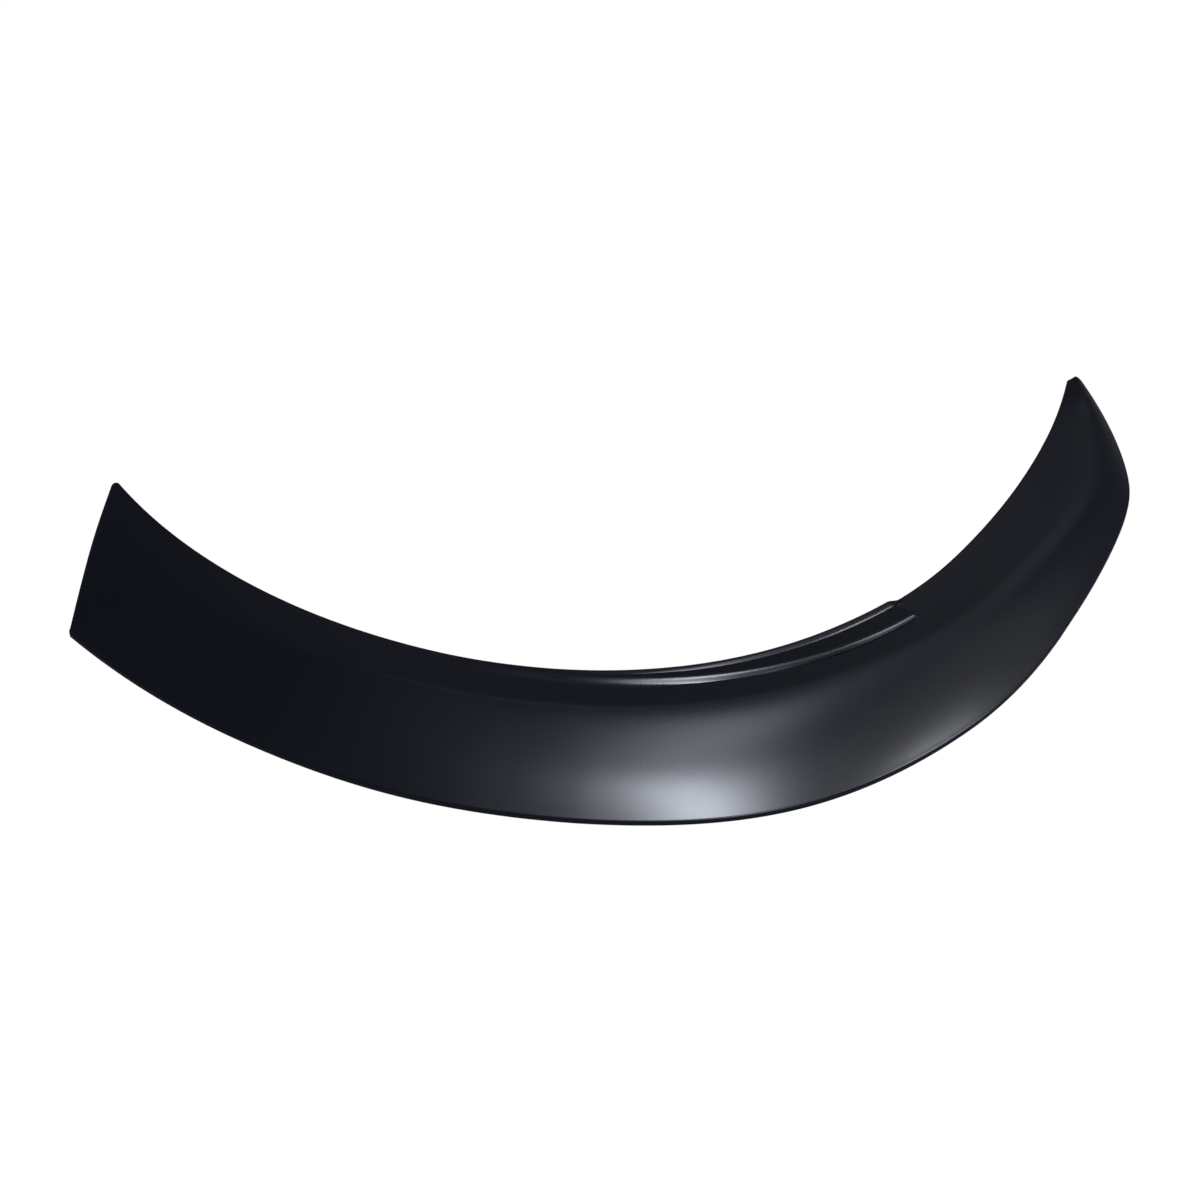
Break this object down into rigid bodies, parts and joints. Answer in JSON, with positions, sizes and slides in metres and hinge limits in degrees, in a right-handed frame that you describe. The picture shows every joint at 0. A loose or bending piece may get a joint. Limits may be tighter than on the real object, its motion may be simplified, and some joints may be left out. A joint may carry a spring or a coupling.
{
  "type": "wheel arch trim",
  "caption": "Curved black plastic trim for the edge of a car's wheel opening, a crowned hollow band with a raised stepped lip, a square cut at one end and a rounded tip at the other.",
  "frame": {"origin": "middle of the outline in plan, on the body-side plane that the trim lies on", "axes": "+Z out from the car's side, up as it lies; +X along the trim from the square left cut to the rounded tip; +Y towards the wheel"},
  "size_m": [0.732, 0.4188, 0.0336],
  "materials": {
    "black_plastic": "moulded satin black, low soft sheen"
  },
  "bodies": {
    "root": {"arch_trim": "black_plastic"}
  },
  "joints": []
}
